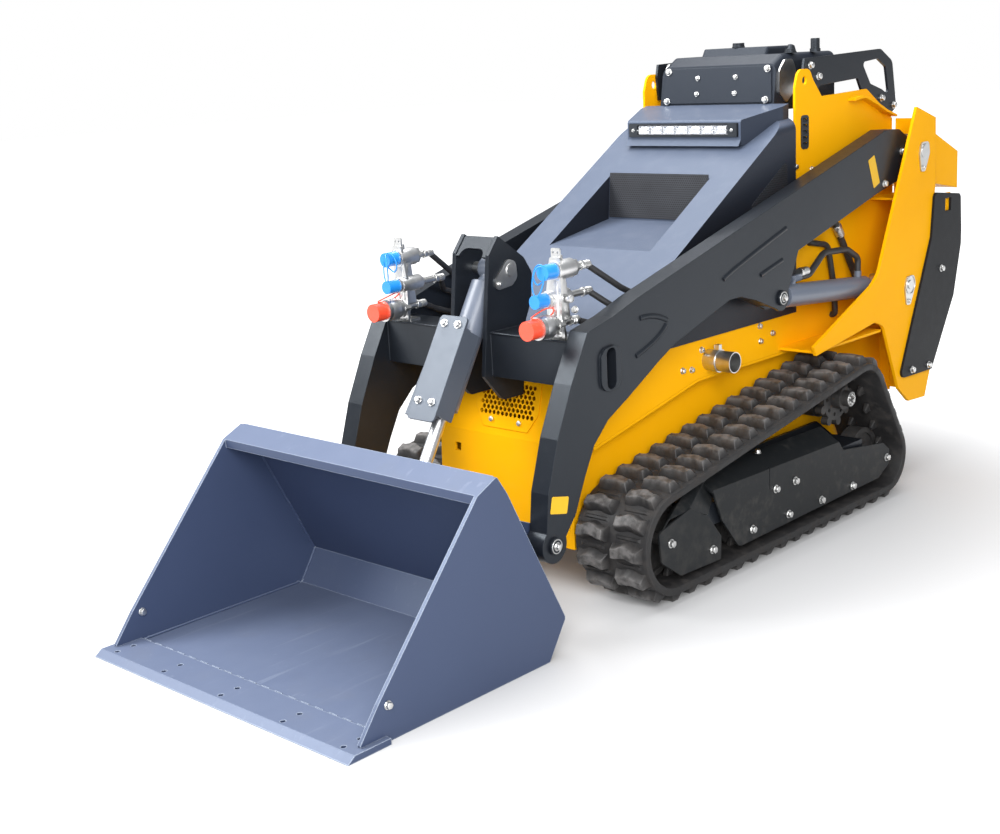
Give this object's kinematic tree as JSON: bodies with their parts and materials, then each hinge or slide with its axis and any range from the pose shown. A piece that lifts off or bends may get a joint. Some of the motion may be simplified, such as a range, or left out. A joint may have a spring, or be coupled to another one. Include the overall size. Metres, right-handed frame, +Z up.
{
  "type": "mini track loader",
  "caption": "Compact stand-on track loader with rubber tracks, lift arms, front bucket, sloped hood, folding rear platform and auxiliary hydraulic couplers.",
  "frame": {"origin": "on the ground at the middle of the overall box", "axes": "+Z up, +X to the machine's left (symmetry plane normal), +Y from the bucket towards the operator at the rear"},
  "size_m": [0.956, 2.77, 1.385],
  "materials": {
    "frame_yellow": "satin",
    "arm_black": "satin",
    "bucket_grey": "satin",
    "cylinder_grey": "satin",
    "hood_plastic": "fine texture",
    "black_plastic": "matte",
    "zinc_steel": "zinc plated",
    "chrome_rod": "polished",
    "cast_metal": "rough",
    "belt_rubber": "matte",
    "cap_blue": "gloss",
    "cap_red": "gloss",
    "lamp_clear": "clear lens",
    "hose_rubber": "matte"
  },
  "bodies": {
    "chassis": {"console_box": "arm_black", "console_stays": "zinc_steel", "control_levers": "black_plastic", "drive_sprockets": "cast_metal", "engine_block": "cast_metal", "exhaust_pipe": "zinc_steel", "front_idlers": "cast_metal", "guard_plates": "arm_black", "handle_plates": "arm_black", "hood_screen": "black_plastic", "hood_shell": "hood_plastic", "hub_motors": "cast_metal", "idler_covers": "arm_black", "lift_base_pins": "zinc_steel", "light_bar": "lamp_clear", "main_frame": "frame_yellow", "nose_grille": "frame_yellow", "pin_retainers": "zinc_steel", "pivot_pins": "zinc_steel", "platform_pins": "zinc_steel", "rear_box": "frame_yellow", "rear_idlers": "cast_metal", "side_walls": "frame_yellow", "tower_hoses": "hose_rubber", "tower_plates": "frame_yellow", "track_belt_left": "belt_rubber", "track_belt_right": "belt_rubber", "track_covers": "arm_black", "track_frames": "arm_black", "track_rollers": "cast_metal", "wall_vents": "black_plastic"},
    "arms": {"arm_left": "arm_black", "arm_right": "arm_black", "cross_tubes": "arm_black", "tilt_bracket": "arm_black", "tilt_top_pin": "zinc_steel", "hinge_pins": "zinc_steel", "lift_eye_pins": "zinc_steel", "coupler_banks": "zinc_steel", "blue_caps": "cap_blue", "red_caps": "cap_red", "top_retainers": "zinc_steel", "coupler_hoses": "hose_rubber"},
    "bucket": {"bucket_shell": "bucket_grey", "cutting_edge": "bucket_grey", "bucket_mount": "bucket_grey", "tilt_eye_pins": "zinc_steel"},
    "tilt_barrel": {"tilt_barrel": "cylinder_grey", "tilt_guard": "arm_black"},
    "tilt_rod": {"tilt_rod": "chrome_rod"},
    "lift_barrels": {"lift_barrels": "cylinder_grey", "lift_hoses": "hose_rubber"},
    "lift_rods": {"lift_rods": "chrome_rod"},
    "platform": {"operator_platform": "arm_black"}
  },
  "joints": [
    {"name": "arm_lift", "type": "hinge", "parent": "chassis", "child": "arms", "pos_m": [0, 1.135, 1.03], "axis": [-1, 0, 0], "range_deg": [0, 57]},
    {"name": "bucket_tilt", "type": "hinge", "parent": "arms", "child": "bucket", "pos_m": [0, -0.62, 0.235], "axis": [1, 0, 0], "range_deg": [-25, 80]},
    {"name": "lift_barrel_swing", "type": "hinge", "parent": "arms", "child": "lift_barrels", "pos_m": [0, 0.377, 0.684], "axis": [1, 0, 0], "range_deg": [-0.5, 8]},
    {"name": "lift_rod_slide", "type": "slide", "parent": "lift_barrels", "child": "lift_rods", "axis": [0, 0.9962, -0.0867], "range_m": [-0.001, 0.386]},
    {"name": "tilt_barrel_swing", "type": "hinge", "parent": "arms", "child": "tilt_barrel", "pos_m": [0, -0.4, 0.852], "axis": [1, 0, 0], "range_deg": [-1.45, 0.5]},
    {"name": "tilt_rod_slide", "type": "slide", "parent": "tilt_barrel", "child": "tilt_rod", "axis": [0, -0.5169, -0.8561], "range_m": [-0.058, 0.184]},
    {"name": "platform_fold", "type": "hinge", "parent": "chassis", "child": "platform", "pos_m": [0, 1.214, 0.278], "axis": [-1, 0, 0], "range_deg": [0, 83]}
  ],
  "couplings": [
    {"joint": "lift_barrel_swing", "follows": "arm_lift", "ratio": 0.1195},
    {"joint": "lift_rod_slide", "follows": "arm_lift", "m_per_rad": 0.38725},
    {"joint": "tilt_barrel_swing", "follows": "bucket_tilt", "ratio": -0.0175},
    {"joint": "tilt_rod_slide", "follows": "bucket_tilt", "m_per_rad": 0.13125}
  ]
}
